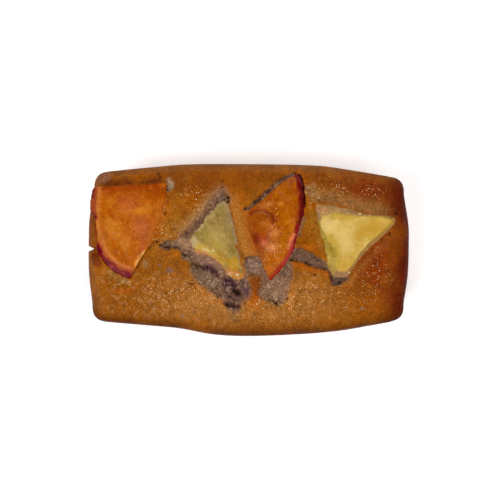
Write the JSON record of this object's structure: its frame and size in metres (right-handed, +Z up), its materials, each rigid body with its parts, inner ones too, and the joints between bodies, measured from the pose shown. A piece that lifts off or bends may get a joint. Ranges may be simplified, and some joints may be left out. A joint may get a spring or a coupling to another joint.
{
  "type": "financier cake",
  "caption": "Bar-shaped baked almond sponge with a domed crust and slices of plum and pineapple set into its top; rests on its flat base.",
  "frame": {"origin": "middle of the flat base, on the surface that the cake rests on", "axes": "+X along the cake's length, +Y across it, +Z up"},
  "size_m": [0.09, 0.0484, 0.0233],
  "materials": {
    "crust": "golden brown baked crust with fine pores, a light oily sheen and grey-purple torn crumb",
    "plum_flesh": "moist baked plum, orange flesh with dark red skin along its curved edge",
    "pineapple_flesh": "moist yellow pineapple with soft fibres and greenish sides"
  },
  "bodies": {
    "root": {"cake_body": "crust", "plum_slice_left": "plum_flesh", "plum_slice_right": "plum_flesh", "pineapple_piece_left": "pineapple_flesh", "pineapple_piece_right": "pineapple_flesh"}
  },
  "joints": []
}
